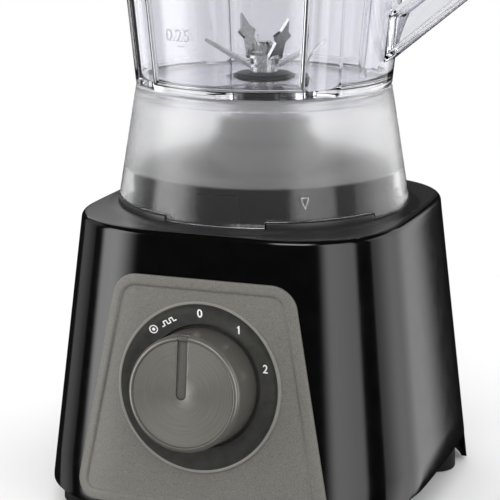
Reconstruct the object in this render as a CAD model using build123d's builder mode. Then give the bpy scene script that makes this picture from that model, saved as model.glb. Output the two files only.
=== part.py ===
from build123d import *
from math import cos, pi, radians, sin
import os

os.makedirs("parts", exist_ok=True)

# Countertop blender. Millimetres, +Z up, front towards -Y, handle towards +X.
# The origin is on the surface that the feet stand on, under the motor's axis.

# Motor base
wall = 2.6
deck_z = 143.5
plan_top_z = 142.0
plan_low_z = 10.0
top_half_x, low_half_x = 76.5, 92.0
top_front, low_front = 79.5, 94.0
top_back, low_back = 79.5, 86.8
top_corner, low_corner = 47.9, 55.6
side_bulge, face_bulge = 3.4, 1.2
front_edge_z = 12.0
side_edge_z = 18.0
rear_edge_z = 2.0
rear_flange_y = 57.0
cover_z = 18.5
cover_thickness = 2.5
cover_top = cover_z + cover_thickness
foot_radius = 11.0
foot_spots = [(-72, -57), (72, -57), (-77, 46), (77, 46)]
case_post_spots = [(-52, -62), (52, -62), (-52, 62), (52, 62)]
mount_spots = [(-47, -47), (47, -47), (-47, 47), (47, 47)]

# Jug seat on the deck
seat_z = 144.7
land_z = 147.3
boss_radius = 63.5
boss_top = 162.5
well_radius = 42.0
well_floor = 147.0
land_angles = [20.5, 114.5, 200.5, 294.5]
land_sweep = 45.0

# Dial and front panel
dial_tilt = 7.2
dial_y, dial_z = -87.6, 73.7
dial_radius = 39.0
knob_radius = 27.1
knob_height = 21.3
spindle_radius = 3.0
pointer_width = 5.0
panel_gap, panel_rim = 0.25, 5.2
pin_y = 68.0
inlet_z = 34.0

# Motor
shaft_radius = 4.0
running_gap = 0.05
core_low, core_high = 68.0, 102.0
armature_radius = 23.4
bracket_low_z = 35.0
bracket_top_z = 114.0
bearing_radius = 11.0

# Jug
skirt_low_z = 145.0
seam_z = 201.9
skirt_low_radius = 71.0
jug_low_radius = 61.7
jug_flare = 0.1
jug_wall = 3.0
floor_low_z = 202.0
floor_z = 205.0
rim_z = 357.0
rim_radius = jug_low_radius + jug_flare * (rim_z - seam_z)
neck_radius = 15.6
neck_low_z = 188.0
handle_reach = 128.0

skirt_taper = (skirt_low_radius - jug_low_radius) / (seam_z - skirt_low_z)
dial_normal = (0, -cos(radians(dial_tilt)), sin(radians(dial_tilt)))
dial_plane = Plane(origin=(0, dial_y, dial_z), x_dir=(1, 0, 0), z_dir=dial_normal)
dial_section = Plane(origin=dial_plane.origin, x_dir=dial_plane.x_dir, z_dir=-dial_plane.y_dir)
dial_axis = Axis(dial_plane.origin, dial_plane.z_dir)


def base_plan(z, inset=0.0):
    """The base's plan at height z: a rectangle with bowed sides and large corner radii."""
    t = (plan_top_z - z) / (plan_top_z - plan_low_z)
    half_x = top_half_x + (low_half_x - top_half_x) * t - inset
    front = top_front + (low_front - top_front) * t - inset
    back = top_back + (low_back - top_back) * t - inset
    corner = top_corner + (low_corner - top_corner) * t - inset
    middle = (back - front) / 2
    with BuildSketch(Plane.XY.offset(z)) as plan:
        with BuildLine():
            ThreePointArc((-half_x, -front), (0, -front - face_bulge), (half_x, -front))
            ThreePointArc((half_x, -front), (half_x + side_bulge, middle), (half_x, back))
            ThreePointArc((half_x, back), (0, back + face_bulge), (-half_x, back))
            ThreePointArc((-half_x, back), (-half_x - side_bulge, middle), (-half_x, -front))
        make_face()
        fillet(plan.vertices(), corner)
    return plan.sketch


def base_body(z_low, z_high, inset=0.0):
    """The tapered block that the base's plan makes between two heights."""
    with BuildPart() as block:
        add(base_plan(z_low, inset))
        add(base_plan(z_high, inset))
        loft(ruled=True)
    return block.part


def tube(radius, bore, z_low, z_high):
    """A plain ring about the motor's axis."""
    with BuildPart() as ring:
        with BuildSketch(Plane.XY.offset(z_low)):
            Circle(radius)
            Circle(bore, mode=Mode.SUBTRACT)
        extrude(amount=z_high - z_low)
    return ring.part


def turned(points):
    """A solid of revolution about the motor's axis from (radius, height) corners."""
    with BuildPart() as shape:
        with BuildSketch(Plane.XZ):
            with BuildLine():
                Polyline(*points, close=True)
            make_face()
        revolve(axis=Axis.Z)
    return shape.part


def dial_turned(points):
    """A solid of revolution about the dial's axis from (radius, height) corners."""
    with BuildPart() as shape:
        with BuildSketch(dial_section):
            with BuildLine():
                Polyline(*points, close=True)
            make_face()
        revolve(axis=dial_axis)
    return shape.part


def panel_outline(margin=0.0):
    """The front panel's outline in the dial's plane: narrower at the top, corners rounded."""
    with BuildSketch(dial_plane) as outline:
        with BuildLine():
            Polyline((-42.6, 49.7), (42.6, 49.7), (63.2, -59.0), (-63.2, -59.0), close=True)
        make_face()
        fillet(outline.vertices().group_by(Axis.Z)[-1], 12.5)
        fillet(outline.vertices().group_by(Axis.Z)[0], 9)
        if margin:
            offset(amount=margin, kind=Kind.INTERSECTION)
    return outline.sketch


def save(piece, name):
    piece.part.label = name
    export_step(piece.part, f"parts/{name}.step")


# Shapes that the housing and the front panel are cut with
with BuildPart() as panel_pocket:
    add(base_body(5, deck_z - 4, -4))
    add(base_body(4, deck_z - 3, 1.3), mode=Mode.SUBTRACT)
    extrude(panel_outline(panel_gap), amount=40, both=True, mode=Mode.INTERSECT)
with BuildPart() as panel_field:
    add(base_body(5, deck_z - 4, -4))
    add(base_body(4, deck_z - 3, 0.2), mode=Mode.SUBTRACT)
    extrude(panel_outline(-panel_rim), amount=40, both=True, mode=Mode.INTERSECT)

# Housing: one glossy moulding with the deck, the seat and the boss that centres the jug.
# Its lower edge arches up at the sides, and its rear wall drops almost to the table.
with BuildPart() as motor_housing:
    add(base_body(rear_edge_z, deck_z))
    fillet(motor_housing.edges().group_by(Axis.Z)[-1], 3.5)
    with BuildSketch(Plane.YZ.offset(-120)) as arch:
        with BuildLine():
            Polyline(
                (-110, -5), (-110, front_edge_z), (-66, front_edge_z), (-50, side_edge_z),
                (rear_flange_y, side_edge_z), (rear_flange_y + 2, -5), close=True,
            )
        make_face()
        fillet(arch.vertices().sort_by(Axis.Y)[2:4], 8)
    extrude(amount=240, mode=Mode.SUBTRACT)
    add(base_body(-1, deck_z - wall, wall), mode=Mode.SUBTRACT)
    with BuildSketch(Plane.XY.offset(deck_z - 5)):
        Circle(boss_radius - wall)
    extrude(amount=10, mode=Mode.SUBTRACT)
    add(turned([
        (76.5, deck_z), (71.8, seat_z), (boss_radius, seat_z), (boss_radius, boss_top - 1.2),
        (boss_radius - 1.2, boss_top), (well_radius + 1, boss_top), (well_radius, boss_top - 1),
        (well_radius, well_floor), (14, well_floor), (14, well_floor - wall),
        (well_radius + wall, well_floor - wall), (well_radius + wall, boss_top - wall),
        (boss_radius - wall, boss_top - wall), (boss_radius - wall, deck_z - wall),
        (76.5, deck_z - wall),
    ]))
    for start in land_angles:
        with BuildSketch(Plane.XZ.rotated((0, 0, start - 90))):
            with Locations((67.6, seat_z + (land_z - seat_z) / 2)):
                Rectangle(7.2, land_z - seat_z)
        revolve(axis=Axis.Z, revolution_arc=land_sweep)
    # Lug at the front that stops the jug from turning
    with BuildSketch(Plane.XZ.rotated((0, 0, -99))):
        with BuildLine():
            Polyline((boss_radius - 1, seat_z), (67.2, seat_z), (64.9, 158.5),
                     (boss_radius - 1, 158.5), close=True)
        make_face()
    revolve(axis=Axis.Z, revolution_arc=18.5)
    # Posts for the motor's rubber mounts and for the bottom cover's screws
    for spots, radius, foot in ((mount_spots, 5, 121.5), (case_post_spots, 4.5, cover_top)):
        with BuildSketch(Plane.XY.offset(foot)):
            with Locations(*spots):
                Circle(radius)
                Circle(1.5, mode=Mode.SUBTRACT)
        extrude(amount=deck_z - wall / 2 - foot)
    # Pocket that the front panel lies in, and the openings behind the dial
    add(panel_pocket.part, mode=Mode.SUBTRACT)
    with BuildSketch(dial_plane):
        Circle(dial_radius + 0.1)
    extrude(amount=20, both=True, mode=Mode.SUBTRACT)
    # Hole for the interlock pin and the cord's inlet in the rear wall
    with BuildSketch(Plane.XY.offset(120)):
        with Locations((0, pin_y)):
            Circle(2.0)
    extrude(amount=40, mode=Mode.SUBTRACT)
    with BuildSketch(Plane.XZ.offset(-70)):
        with Locations((0, inlet_z)):
            Circle(6.2)
    extrude(amount=-40, mode=Mode.SUBTRACT)
save(motor_housing, "motor_housing")

# Front panel: a metal-look plate that follows the housing, with a raised rim and a sunk field.
with BuildPart() as control_panel:
    add(base_body(5, deck_z - 4, -1.0))
    add(base_body(4, deck_z - 3, 1.25), mode=Mode.SUBTRACT)
    extrude(panel_outline(), amount=40, both=True, mode=Mode.INTERSECT)
    add(panel_field.part, mode=Mode.SUBTRACT)
    with BuildSketch(dial_plane):
        Circle(dial_radius + 0.1)
    extrude(amount=20, both=True, mode=Mode.SUBTRACT)
save(control_panel, "control_panel")

# Dial dish: a concave dark ring round the knob that carries the scale.
with BuildPart() as dial_dish:
    add(dial_turned([
        (5, -6.5), (31, -6.5), (34, -4.5), (38.9, -3.5), (38.9, 0.9), (38.1, 1.1), (37.4, 0.6),
        (35, -0.6), (31.5, -1.5), (28.5, -1.8), (27.4, -4.2), (5, -4.2),
    ]))
save(dial_dish, "dial_dish")

# Knob: a hollow turned skirt, a spun metal face and a light pointer in a slot.
with BuildPart() as knob_body:
    add(dial_turned([
        (5, 3), (24.5, 3), (24.5, -2.6), (26.9, -2.6), (knob_radius, 0), (26.5, knob_height - 1.6),
        (5, knob_height - 1.6),
    ]))
    # Hub on the spindle
    with BuildSketch(dial_plane.offset(-3.6)):
        Circle(7)
    extrude(amount=knob_height - 0.4)
    # Slot for the pointer
    with BuildSketch(dial_plane.offset(knob_height - 4)):
        with Locations((0, 10)):
            Rectangle(pointer_width, 26)
    extrude(amount=10, mode=Mode.SUBTRACT)
    with BuildSketch(dial_plane.offset(-4)):
        Circle(spindle_radius)
    extrude(amount=18, mode=Mode.SUBTRACT)
save(knob_body, "knob_body")

with BuildPart() as knob_face:
    add(dial_turned([
        (0, knob_height - 1.6), (26.4, knob_height - 1.6), (26.3, knob_height - 0.3),
        (25.9, knob_height), (0, knob_height - 0.5),
    ]))
    with BuildSketch(dial_plane.offset(knob_height - 3)):
        with Locations((0, 10)):
            Rectangle(pointer_width, 26)
        with Locations((0, -3)):
            Circle(pointer_width / 2)
    extrude(amount=5, mode=Mode.SUBTRACT)
save(knob_face, "knob_face")

with BuildPart() as knob_pointer:
    with BuildSketch(dial_plane.offset(knob_height - 4)):
        with Locations((0, 11.2)):
            Rectangle(pointer_width - 0.2, 23.4)
    extrude(amount=2.4)
    with BuildSketch(dial_plane.offset(knob_height - 1.6)):
        with Locations((0, 20.4)):
            Rectangle(1.2, 5)
    extrude(amount=0.6)
save(knob_pointer, "knob_pointer")

with BuildPart() as switch_spindle:
    with BuildSketch(dial_plane.offset(-14)):
        Circle(spindle_radius - 0.02)
    extrude(amount=27.5)
save(switch_spindle, "switch_spindle")

# Rotary switch behind the dial, with its terminals.
with BuildPart() as rotary_switch:
    with BuildSketch(dial_plane.offset(-27)):
        RectangleRounded(30, 30, 3)
    extrude(amount=20)
    with BuildSketch(dial_plane.offset(-7)):
        Circle(5)
    extrude(amount=2.6)
    with BuildSketch(dial_plane.offset(-17)):
        Circle(spindle_radius + running_gap)
    extrude(amount=14, mode=Mode.SUBTRACT)
    with BuildSketch(dial_plane.offset(-33)):
        with GridLocations(9, 9, 3, 2):
            Rectangle(4, 0.8)
    extrude(amount=6.5)
save(rotary_switch, "rotary_switch")

# Bottom cover with air slots, screw holes and seats for the feet.
with BuildPart() as bottom_cover:
    add(base_body(cover_z, cover_top, wall + 0.3))
    with BuildSketch(Plane.XY.offset(cover_z)):
        with Locations(*case_post_spots):
            Circle(2.0)
    extrude(amount=cover_thickness, mode=Mode.SUBTRACT)
    with BuildSketch(Plane.XY.offset(cover_z)):
        with PolarLocations(26, 16):
            SlotOverall(18, 3.2)
    extrude(amount=cover_thickness, mode=Mode.SUBTRACT)
    with BuildSketch(Plane.XY.offset(cover_z)):
        with Locations(*foot_spots):
            Circle(2.6)
    extrude(amount=cover_thickness, mode=Mode.SUBTRACT)
save(bottom_cover, "bottom_cover")

# Rubber feet pushed into the bottom cover.
with BuildPart() as rubber_feet:
    with BuildSketch():
        with Locations(*foot_spots):
            Circle(foot_radius)
    extrude(amount=cover_z, taper=3)
    fillet(rubber_feet.edges().group_by(Axis.Z)[0], 1.5)
    with BuildSketch(Plane.XY.offset(cover_z)):
        with Locations(*foot_spots):
            Circle(2.5)
    extrude(amount=cover_thickness + 2)
save(rubber_feet, "rubber_feet")

# Screws of the bottom cover.
with BuildPart() as cover_screws:
    with BuildSketch(Plane.XY.offset(cover_z - 2)):
        with Locations(*case_post_spots):
            Circle(3.6)
    extrude(amount=2)
    with BuildSketch(Plane.XY.offset(cover_z)):
        with Locations(*case_post_spots):
            Circle(1.48)
    extrude(amount=14)
save(cover_screws, "cover_screws")

# Stator: laminated iron with two poles round the armature.
with BuildPart() as stator_core:
    with BuildSketch(Plane.XY.offset(core_low)):
        RectangleRounded(84, 78, 12)
        RectangleRounded(68, 66, 9, mode=Mode.SUBTRACT)
        with Locations((0, 30), (0, -30)):
            Rectangle(22, 8)
        with Locations((0, 24), (0, -24)):
            Rectangle(36, 6)
        Circle(armature_radius + 0.8, mode=Mode.SUBTRACT)
    extrude(amount=core_high - core_low)
save(stator_core, "stator_core")

# Field coils: one copper winding round each pole.
with BuildPart() as field_coils:
    for side in (-1, 1):
        with BuildSketch(Plane.XZ.offset(side * 30)):
            with Locations((0, (core_low + core_high) / 2)):
                RectangleRounded(40, core_high - core_low + 20, 8)
                Rectangle(22.6, core_high - core_low + 0.6, mode=Mode.SUBTRACT)
        extrude(amount=2.5, both=True)
save(field_coils, "field_coils")

# Motor shaft, from the fan to the drive coupling.
with BuildPart() as motor_shaft:
    with BuildSketch(Plane.XY.offset(23)):
        Circle(shaft_radius)
    extrude(amount=133)
    chamfer(motor_shaft.edges().group_by(Axis.Z)[-1], 0.6)
save(motor_shaft, "motor_shaft")

# Armature: slotted laminations, with its copper winding in twelve slots.
with BuildPart() as armature_core:
    with BuildSketch(Plane.XY.offset(core_low)):
        Circle(armature_radius)
        Circle(shaft_radius, mode=Mode.SUBTRACT)
        with PolarLocations(18, 12):
            SlotOverall(9, 4.4, mode=Mode.SUBTRACT)
    extrude(amount=core_high - core_low)
save(armature_core, "armature_core")

with BuildPart() as armature_windings:
    add(turned([(6.5, core_high), (19.5, core_high), (18, core_high + 7), (9, core_high + 8),
                (6.5, core_high + 6)]))
    add(turned([(6.5, core_low), (19.5, core_low), (18, core_low - 6), (9, core_low - 7),
                (6.5, core_low - 6)]))
    with BuildSketch(Plane.XY.offset(core_low)):
        with PolarLocations(16.4, 12):
            SlotOverall(5.6, 4.0)
    extrude(amount=core_high - core_low)
save(armature_windings, "armature_windings")

# Commutator: copper bars on a moulded hub.
with BuildPart() as commutator:
    add(tube(12, shaft_radius, 46, 58))
    with BuildSketch(Plane.XY.offset(47)):
        with PolarLocations(12, 24):
            Rectangle(1.6, 0.5)
    extrude(amount=12, mode=Mode.SUBTRACT)
save(commutator, "commutator")

# Cooling fan at the foot of the shaft.
with BuildPart() as cooling_fan:
    add(tube(8, shaft_radius, 24, 32.5))
    add(tube(34, 7, 31, 32.5))
    for k in range(9):
        with BuildSketch(Plane.XY.offset(24.5)):
            with PolarLocations(0, 1, start_angle=40 * k):
                with Locations((20.5, 0)):
                    Rectangle(26, 1.4, rotation=14)
        extrude(amount=7)
save(cooling_fan, "cooling_fan")

# End brackets of the motor, each with a bearing cup.
with BuildPart() as motor_low_bracket:
    add(tube(bearing_radius + 2.2, bearing_radius, bracket_low_z, bracket_low_z + 9))
    add(tube(bearing_radius + 2.2, 6, bracket_low_z, bracket_low_z + 1.5))
    for side in (-1, 1):
        with BuildSketch(Plane.XY.offset(bracket_low_z + 3)):
            with Locations((side * 26.5, 0)):
                Rectangle(29, 14)
        extrude(amount=3.5)
        with BuildSketch(Plane.XY.offset(bracket_low_z + 3)):
            with Locations((side * 39.5, 0)):
                Rectangle(3, 14)
        extrude(amount=core_low - bracket_low_z - 3)
save(motor_low_bracket, "motor_low_bracket")

with BuildPart() as motor_top_bracket:
    add(tube(bearing_radius + 2.4, bearing_radius, bracket_top_z, bracket_top_z + 8))
    add(tube(bearing_radius + 2.4, 6, bracket_top_z + 7, bracket_top_z + 8.5))
    with BuildSketch(Plane.XY.offset(bracket_top_z)):
        for angle in (45, -45):
            Rectangle(150, 15, rotation=angle)
        Circle(bearing_radius, mode=Mode.SUBTRACT)
        with Locations(*mount_spots):
            Circle(1.6, mode=Mode.SUBTRACT)
    extrude(amount=3.5)
    for side in (-1, 1):
        with BuildSketch(Plane.XY.offset(core_high)):
            with Locations((side * 37, 30), (side * 37, -30)):
                Circle(3.2)
        extrude(amount=bracket_top_z - core_high)
save(motor_top_bracket, "motor_top_bracket")

# Ball bearings, drawn as closed rings.
with BuildPart() as upper_bearing:
    add(tube(bearing_radius, shaft_radius + running_gap, bracket_top_z, bracket_top_z + 7))
save(upper_bearing, "upper_bearing")

with BuildPart() as lower_bearing:
    add(tube(bearing_radius, shaft_radius + running_gap, bracket_low_z + 1.5, bracket_low_z + 8.5))
save(lower_bearing, "lower_bearing")

# Brush gear: two guides on the lower bracket, with a carbon brush and a spring in each.
with BuildPart() as brush_holders:
    for side in (-1, 1):
        with BuildSketch(Plane.YZ.offset(side * 25)):
            with Locations((0, 51)):
                Rectangle(10, 13)
                Rectangle(6.4, 9.4, mode=Mode.SUBTRACT)
        extrude(amount=10, both=True)
        with BuildSketch(Plane.XY.offset(bracket_low_z + 6.5)):
            with Locations((side * 27, 0)):
                Rectangle(12, 10)
        extrude(amount=3.2)
save(brush_holders, "brush_holders")

with BuildPart() as carbon_brushes:
    for side in (-1, 1):
        with BuildSketch(Plane.YZ.offset(side * 19.6)):
            with Locations((0, 51)):
                Rectangle(6.2, 9.2)
        extrude(amount=7.2, both=True)
save(carbon_brushes, "carbon_brushes")

with BuildPart() as brush_springs:
    for side in (-1, 1):
        with BuildSketch(Plane.YZ.offset(side * 30.9)):
            with Locations((0, 51)):
                Circle(2.6)
                Circle(1.9, mode=Mode.SUBTRACT)
        extrude(amount=4, both=True)
save(brush_springs, "brush_springs")

# Rubber mounts and screws that hang the motor from the deck.
with BuildPart() as motor_mounts:
    with BuildSketch(Plane.XY.offset(bracket_top_z + 3.5)):
        with Locations(*mount_spots):
            Circle(7)
            Circle(1.6, mode=Mode.SUBTRACT)
    extrude(amount=4)
save(motor_mounts, "motor_mounts")

with BuildPart() as motor_screws:
    with BuildSketch(Plane.XY.offset(bracket_top_z - 3)):
        with Locations(*mount_spots):
            Circle(3.8)
    extrude(amount=3)
    with BuildSketch(Plane.XY.offset(bracket_top_z)):
        with Locations(*mount_spots):
            Circle(1.45)
    extrude(amount=18)
save(motor_screws, "motor_screws")

# Fan ring on the bottom cover that leads the air through the slots.
with BuildPart() as fan_shroud:
    add(tube(39.5, 37.5, cover_top, 33))
    add(tube(43, 37.5, cover_top, cover_top + 1.8))
save(fan_shroud, "fan_shroud")

# Speed control board on two rails at the back, with its parts.
with BuildPart() as circuit_board:
    with BuildSketch(Plane.XZ.offset(-64)):
        with Locations((0, 84)):
            Rectangle(64, 46)
    extrude(amount=-1.6)
save(circuit_board, "circuit_board")

with BuildPart() as board_parts:
    with BuildSketch(Plane.XZ.offset(-64)):
        with Locations((-20, 92)):
            Rectangle(20, 12)
        with Locations((-18, 74)):
            Circle(6)
        with Locations((6, 74)):
            Rectangle(14, 16)
        with Locations((24, 92)):
            Rectangle(10, 14)
    extrude(amount=11)
save(board_parts, "board_parts")

# Safety switch under the deck, with the pin that the jug's rim holds down.
with BuildPart() as interlock_switch:
    with BuildSketch(Plane.XY.offset(119)):
        with Locations((0, pin_y)):
            Rectangle(20, 9)
    extrude(amount=10)
    with BuildSketch(Plane.XY.offset(129)):
        with Locations((-8, 68), (8, 68)):
            Rectangle(4, 9)
    extrude(amount=deck_z - wall - 129)
save(interlock_switch, "interlock_switch")

with BuildPart() as interlock_pin:
    with BuildSketch(Plane.XY.offset(129.4)):
        with Locations((0, pin_y)):
            Circle(3)
    extrude(amount=1.6)
    with BuildSketch(Plane.XY.offset(131)):
        with Locations((0, pin_y)):
            Circle(1.95)
    extrude(amount=seat_z - 0.1 - 131)
save(interlock_pin, "interlock_pin")

# Cord inlet in the rear wall.
with BuildPart() as cord_inlet:
    with BuildSketch(Plane.XZ.offset(-82)):
        with Locations((0, inlet_z)):
            Circle(6)
            Circle(3.4, mode=Mode.SUBTRACT)
    extrude(amount=-12)
save(cord_inlet, "cord_inlet")

# Shaft seal in the well and the drive coupling with three wings.
with BuildPart() as shaft_seal:
    add(tube(13.9, shaft_radius + 0.35, well_floor - wall, well_floor + 1.2))
save(shaft_seal, "shaft_seal")

with BuildPart() as drive_coupling:
    add(tube(7.5, shaft_radius, 149, 159.5))
    add(tube(11, shaft_radius, 149, 151))
    with BuildSketch(Plane.XY.offset(149)):
        with PolarLocations(10.3, 3, start_angle=90):
            Rectangle(9.4, 4.6)
    extrude(amount=9.5)
    fillet(drive_coupling.edges().group_by(Axis.Z)[-1], 0.5)
save(drive_coupling, "drive_coupling")

# Jug collar: the frosted skirt that drops over the boss, with low tabs between the lands.
with BuildPart() as jug_collar:
    add(turned([
        (skirt_low_radius - jug_wall, skirt_low_z), (skirt_low_radius, skirt_low_z),
        (jug_low_radius, seam_z), (jug_low_radius - 4.2, seam_z),
        (jug_low_radius - 4.2, seam_z - 2.5), (jug_low_radius - jug_wall, seam_z - 4),
    ]))
    for start in land_angles:
        with BuildSketch(Plane.XZ.rotated((0, 0, start - 0.7 - 90))):
            with Locations((70, 145)):
                Rectangle(20, 5.2)
        revolve(axis=Axis.Z, revolution_arc=land_sweep + 1.4, mode=Mode.SUBTRACT)
    # Locking lugs inside, left and right
    for side in (0, 180):
        with BuildSketch(Plane.XZ.rotated((0, 0, side - 8))):
            with Locations((66, 155)):
                Rectangle(3, 3)
        revolve(axis=Axis.Z, revolution_arc=16)
save(jug_collar, "jug_collar")

# Jug: a clear flared vessel with four flutes, a pouring lip and a handle moulded in one.
outer_points = [(0, floor_low_z), (jug_low_radius, floor_low_z), (rim_radius, rim_z), (0, rim_z)]
inner_points = [
    (0, floor_z), (jug_low_radius - jug_wall - 4, floor_z),
    (jug_low_radius - jug_wall + 0.6, floor_z + 5), (rim_radius - jug_wall, rim_z + 1),
    (0, rim_z + 1),
]
with BuildPart() as flutes:
    for k in range(4):
        turn = radians(45 + 90 * k)
        reach = jug_low_radius + 8.3
        foot = (reach * cos(turn), reach * sin(turn), floor_low_z)
        lean = (jug_flare * cos(turn), jug_flare * sin(turn), 1)
        with BuildSketch(Plane(origin=foot, z_dir=lean)):
            Circle(13)
        extrude(amount=128)
        with Locations(Plane(origin=foot, z_dir=lean).offset(128)):
            Sphere(13)
with BuildPart() as ribs:
    for k in range(4):
        turn = radians(45 + 90 * k)
        reach = jug_low_radius + 8.3
        foot = (reach * cos(turn), reach * sin(turn), floor_low_z)
        lean = (jug_flare * cos(turn), jug_flare * sin(turn), 1)
        with BuildSketch(Plane(origin=foot, z_dir=lean)):
            Circle(13 + jug_wall)
        extrude(amount=128)
        with Locations(Plane(origin=foot, z_dir=lean).offset(128)):
            Sphere(13 + jug_wall)
with BuildPart() as cavity:
    add(turned(inner_points))
    with BuildSketch(Plane.XY.offset(rim_z - 34)):
        with Locations((-rim_radius + 12, 0)):
            Circle(3)
    with BuildSketch(Plane.XY.offset(rim_z + 1)):
        with Locations((-rim_radius + 4, 0)):
            Circle(11.5)
    loft()
    add(ribs.part, mode=Mode.SUBTRACT)
with BuildPart() as jug:
    add(turned(outer_points))
    add(turned([
        (rim_radius - 4, rim_z - 6), (rim_radius + 1.2, rim_z - 5), (rim_radius + 2.2, rim_z - 3),
        (rim_radius + 2.2, rim_z), (rim_radius - 4, rim_z),
    ]))
    with BuildSketch(Plane.XY.offset(rim_z - 36)):
        with Locations((-rim_radius + 12, 0)):
            Circle(6)
    with BuildSketch(Plane.XY.offset(rim_z)):
        with Locations((-rim_radius + 4, 0)):
            Circle(14.5)
    loft()
    add(flutes.part, mode=Mode.SUBTRACT)
    with BuildSketch(Plane.XZ) as grip:
        with BuildLine():
            Polyline(
                (58, 212), (handle_reach, 269), (handle_reach, 352), (72, 355),
                (72, 338), (handle_reach - 18, 336), (handle_reach - 18, 273.3), (58, 231.9),
                close=True,
            )
        make_face()
        fillet(grip.vertices().filter_by(lambda v: v.X > handle_reach - 1), 28)
        fillet(grip.vertices().filter_by(lambda v: abs(v.X - handle_reach + 18) < 1), 14)
    extrude(amount=1.5, both=True)
    with BuildSketch(Plane.XZ):
        add(grip.sketch)
        offset(grip.sketch, amount=-3, mode=Mode.SUBTRACT)
    extrude(amount=9.5, both=True)
    add(cavity.part, mode=Mode.SUBTRACT)
    # Neck below the floor that the blade holder locks into
    add(tube(neck_radius + 2.8, neck_radius, neck_low_z, floor_low_z + 1))
    add(tube(57.3, 54.8, 196, floor_low_z + 1))
    with BuildSketch(Plane.XY.offset(180)):
        Circle(neck_radius)
    extrude(amount=30, mode=Mode.SUBTRACT)
    add(tube(neck_radius + 1.6, neck_radius - 1, 191.4, 196.6), mode=Mode.SUBTRACT)
save(jug, "jug")

# Blade holder: locks into the neck from below with three lugs; its rubber ring seals the floor.
with BuildPart() as blade_holder:
    add(turned([
        (9, 164), (26, 164), (27, 165), (27, 173.6), (25.6, 175), (22.6, 177), (21.4, 190.5),
        (19, 190.5), (19, 185.6), (neck_radius - 0.6, 185.6), (neck_radius - 0.6, 205.4),
        (13, 206.6), (7.4, 206.6), (7.4, 167), (9, 167),
    ]))
    with BuildSketch(Plane.XY.offset(192)):
        with PolarLocations(neck_radius - 0.2, 3):
            Rectangle(2.4, 7)
    extrude(amount=4)
save(blade_holder, "blade_holder")

with BuildPart() as blade_seal:
    add(tube(neck_radius + 2.8, neck_radius, 185.6, neck_low_z))
save(blade_seal, "blade_seal")

with BuildPart() as blade_bearing:
    add(tube(7.4, shaft_radius + running_gap, 168, 206.4))
save(blade_bearing, "blade_bearing")

# Blade shaft, blades, nut and the driven half of the coupling.
with BuildPart() as blade_shaft:
    with BuildSketch(Plane.XY.offset(159.8)):
        Circle(shaft_radius)
    extrude(amount=62)
    chamfer(blade_shaft.edges().group_by(Axis.Z)[-1], 0.6)
save(blade_shaft, "blade_shaft")

with BuildPart() as driven_coupling:
    add(tube(18, shaft_radius, 160.6, 163.4))
    with BuildSketch(Plane.XY.offset(151.6)):
        with PolarLocations(12, 3, start_angle=30):
            Circle(2.6)
    extrude(amount=10)
    add(tube(6.5, shaft_radius, 163.4, 167))
save(driven_coupling, "driven_coupling")


def blade(z, turn, rise, outline):
    """Two sharp arms on a disc, bent up from the disc's edge by rise radians.
    The outline is half of an arm: (distance from the bend, half width) from root to tip."""
    mirrored = [(along, -across) for along, across in reversed(outline[:-1])]
    with BuildPart() as arms:
        with BuildSketch(Plane.XY.offset(z)):
            Circle(9)
        extrude(amount=1.6)
        for way in (turn, turn + pi):
            along = (cos(way) * cos(rise), sin(way) * cos(rise), sin(rise))
            up = (-cos(way) * sin(rise), -sin(way) * sin(rise), cos(rise))
            bend = (8 * cos(way), 8 * sin(way), z)
            with BuildSketch(Plane(origin=bend, x_dir=along, z_dir=up)):
                with BuildLine():
                    Polyline(*outline, *mirrored, close=True)
                make_face()
            extrude(amount=1.6)
        with BuildSketch(Plane.XY.offset(z - 20)):
            Circle(shaft_radius)
        extrude(amount=40, mode=Mode.SUBTRACT)
    return arms.part


with BuildPart() as lower_blade:
    add(blade(210, radians(20), radians(30), [(-0.6, 5), (12, 4.5), (17, 3.2), (24, 0)]))
save(lower_blade, "lower_blade")

with BuildPart() as upper_blade:
    add(blade(214.2, radians(150), radians(62),
              [(-0.6, 4.5), (9, 2.8), (12.5, 5.2), (15, 2.4), (22, 0)]))
save(upper_blade, "upper_blade")

with BuildPart() as blade_nut:
    with BuildSketch(Plane.XY.offset(215.8)):
        RegularPolygon(6.2, 6)
        Circle(shaft_radius, mode=Mode.SUBTRACT)
    extrude(amount=4.6)
save(blade_nut, "blade_nut")

with BuildPart() as blade_spacer:
    add(tube(7, shaft_radius, 206.9, 210))
    add(tube(7, shaft_radius, 211.6, 214.2))
save(blade_spacer, "blade_spacer")

# Lid, its gasket and the measuring cap in its filler hole.
with BuildPart() as lid:
    add(turned([
        (29, 345), (31, 345), (31, 357.6), (69.5, 357.6), (69.5, 342), (71.6, 342), (72, 349),
        (72, 357.6), (rim_radius + 2.4, 357.6), (rim_radius + 2.6, 360), (rim_radius + 1, 364),
        (60, 369), (34, 371), (32, 376), (29, 376), (28, 372), (28, 362), (29, 360),
    ]))
    for side in (-1, 1):
        with BuildSketch(Plane.XY.offset(358)):
            with Locations((side * (rim_radius + 4), 0)):
                RectangleRounded(22, 34, 7)
        extrude(amount=4.5)
save(lid, "lid")

with BuildPart() as lid_gasket:
    add(tube(73.2, 72, 350, 352.5))
save(lid_gasket, "lid_gasket")

with BuildPart() as measuring_cap:
    add(turned([
        (0, 392.5), (0, 395), (23.4, 395), (25.2, 393.4), (25.8, 380), (31.8, 379.4), (31.8, 376.4),
        (27.5, 376.4), (26.4, 350), (24, 350), (23.2, 392.5),
    ]))
    with BuildSketch(Plane.XY.offset(376.4)):
        with PolarLocations(29, 2):
            Rectangle(9, 16)
    extrude(amount=3)
save(measuring_cap, "measuring_cap")
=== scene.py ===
from math import atan2, cos, hypot, pi, radians, sin, sqrt, tan

import bpy
from mathutils import Matrix, Vector


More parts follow.
